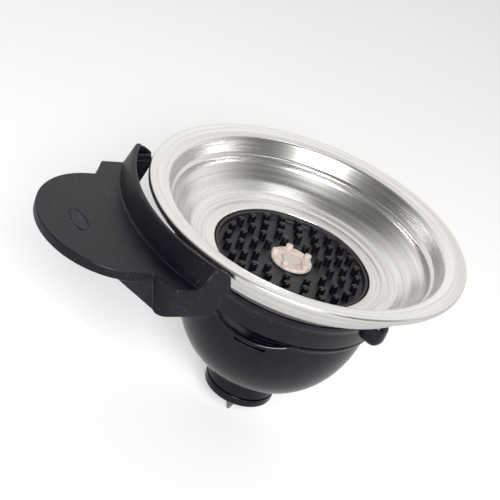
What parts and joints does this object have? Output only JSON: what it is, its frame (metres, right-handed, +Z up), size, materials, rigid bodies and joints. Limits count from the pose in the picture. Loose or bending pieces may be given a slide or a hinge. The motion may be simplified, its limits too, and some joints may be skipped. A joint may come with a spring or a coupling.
{
  "type": "coffee pod holder",
  "caption": "Pod holder of a soft-pod coffee machine: steel bowl with a pinned drain plate and sieve, thumb handle, and a twist-off collector with a spout.",
  "frame": {"origin": "centre of the bowl rim's top plane, on the bowl's axis", "axes": "+Z up along the bowl's axis, -Y along the handle, +X to the right seen from the handle's tip"},
  "size_m": [0.095, 0.128, 0.0761],
  "materials": {
    "bowl_steel": "pressed and satin-polished stainless steel",
    "black_plastic": "black moulded plastic, fine satin",
    "gloss_black": "black moulded plastic, smooth",
    "cream_plastic": "cream moulded plastic",
    "sieve_steel": "fine woven mesh",
    "rubber": "soft seal rubber",
    "tip_grey": "smooth dark grey"
  },
  "bodies": {
    "holder": {"steel_bowl": "bowl_steel", "bowl_gasket": "rubber", "pin_plate": "black_plastic", "nozzle_seal": "rubber", "holder_body": "black_plastic", "handle": "black_plastic", "handle_screw_left": "bowl_steel", "handle_screw_right": "bowl_steel", "rim_peg_left": "black_plastic", "rim_peg_right": "black_plastic"},
    "sieve": {"sieve_disc": "cream_plastic", "sieve_mesh": "sieve_steel", "jet_nozzle": "black_plastic"},
    "collector": {"collector": "gloss_black", "collector_seal": "rubber", "splash_plate": "black_plastic", "spout_sleeve": "gloss_black", "tip_spider": "black_plastic", "drip_tip": "tip_grey"}
  },
  "joints": [
    {"name": "sieve_lift", "type": "slide", "parent": "holder", "child": "sieve", "axis": [0, 0, 1], "range_m": [0, 0.012]},
    {"name": "collector_twist", "type": "hinge", "parent": "holder", "child": "collector", "pos_m": [0, 0, -0.0245], "axis": [0, 0, 1], "range_deg": [0, 30]}
  ]
}
